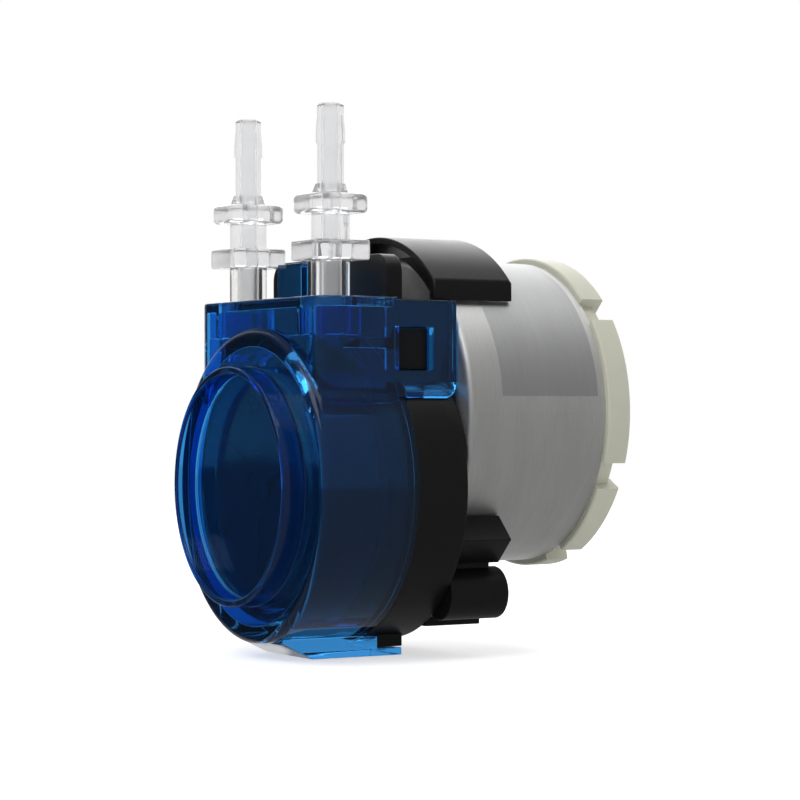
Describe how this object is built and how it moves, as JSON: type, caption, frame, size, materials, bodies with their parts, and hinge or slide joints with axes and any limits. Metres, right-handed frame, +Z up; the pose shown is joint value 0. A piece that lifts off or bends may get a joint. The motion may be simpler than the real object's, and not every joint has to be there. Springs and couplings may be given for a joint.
{
  "type": "peristaltic pump",
  "caption": "Peristaltic pump: clear round clip-on head with two upright tube connectors on a black gear case, driven by a drum-shaped DC motor with a hood and notched rear cap.",
  "frame": {"origin": "on the pump axis, where the front collar meets the flat face of the drum", "axes": "+Y along the pump axis from the drum back to the motor, +Z up towards the tube connectors, +X to the right seen from the front"},
  "size_m": [0.0682, 0.0826, 0.1148],
  "materials": {
    "clear_blue": "clear moulded, polished",
    "black_plastic": "satin moulded",
    "silicone_tube": "translucent, smooth",
    "natural_plastic": "translucent, glossy",
    "plated_steel": "fine vertical brushing",
    "foil_label": "satin foil, bare",
    "ivory_plastic": "satin moulded",
    "sintered_bronze": "dull",
    "ground_steel": "ground",
    "acetal_gear": "satin moulded",
    "rotor_plastic": "satin moulded",
    "roller_plastic": "smooth",
    "zinc_screw": "zinc plated",
    "ferrite": "dark, matt",
    "laminations": "stacked sheet edges",
    "copper_wire": "enamelled wire",
    "commutator_copper": "turned",
    "carbon": "matt",
    "spring_brass": "bright",
    "tinned_brass": "tinned",
    "nylon_washer": "plain"
  },
  "bodies": {
    "root": {"head_cover": "clear_blue", "pump_tube": "silicone_tube", "inlet_connector": "natural_plastic", "outlet_connector": "natural_plastic", "gear_case": "black_plastic", "bracket_plate": "black_plastic", "motor_hood": "black_plastic", "case_screws": "zinc_screw", "bearing_outer_ring": "ground_steel", "bearing_balls": "ground_steel", "rear_bush": "sintered_bronze", "motor_can": "plated_steel", "motor_label": "foil_label", "motor_screws": "zinc_screw", "motor_front_bush": "sintered_bronze", "motor_rear_bush": "sintered_bronze", "thrust_washers": "nylon_washer", "stator_magnets": "ferrite", "carbon_brushes": "carbon", "brush_springs": "spring_brass", "motor_end_cap": "ivory_plastic", "motor_terminals": "tinned_brass"},
    "pump_rotor": {"output_shaft": "ground_steel", "bearing_inner_ring": "ground_steel", "retaining_ring": "ground_steel", "output_gear": "acetal_gear", "rotor_hub": "rotor_plastic", "rotor_front_plate": "rotor_plastic", "roller_pins": "ground_steel", "rotor_screws": "zinc_screw"},
    "roller_1_body": {"roller_1": "roller_plastic"},
    "roller_2_body": {"roller_2": "roller_plastic"},
    "roller_3_body": {"roller_3": "roller_plastic"},
    "motor_rotor": {"motor_shaft": "ground_steel", "motor_pinion": "sintered_bronze", "armature_core": "laminations", "armature_windings": "copper_wire", "commutator": "commutator_copper"}
  },
  "joints": [
    {"name": "motor_spin", "type": "hinge", "parent": "root", "child": "motor_rotor", "pos_m": [0, 0.0344, 0.0156], "axis": [0, 1, 0], "continuous": true},
    {"name": "rotor_spin", "type": "hinge", "parent": "root", "child": "pump_rotor", "pos_m": [0, 0, 0], "axis": [0, 1, 0], "continuous": true},
    {"name": "roller_1_spin", "type": "hinge", "parent": "pump_rotor", "child": "roller_1_body", "pos_m": [0.01758, 0.0096, 0.01015], "axis": [0, 1, 0], "continuous": true},
    {"name": "roller_2_spin", "type": "hinge", "parent": "pump_rotor", "child": "roller_2_body", "pos_m": [-0.01758, 0.0096, 0.01015], "axis": [0, 1, 0], "continuous": true},
    {"name": "roller_3_spin", "type": "hinge", "parent": "pump_rotor", "child": "roller_3_body", "pos_m": [0, 0.0096, -0.0203], "axis": [0, 1, 0], "continuous": true}
  ],
  "couplings": [
    {"joint": "rotor_spin", "follows": "motor_spin", "ratio": -0.36842},
    {"joint": "roller_1_spin", "follows": "motor_spin", "ratio": 1.7282},
    {"joint": "roller_2_spin", "follows": "motor_spin", "ratio": 1.7282},
    {"joint": "roller_3_spin", "follows": "motor_spin", "ratio": 1.7282}
  ]
}
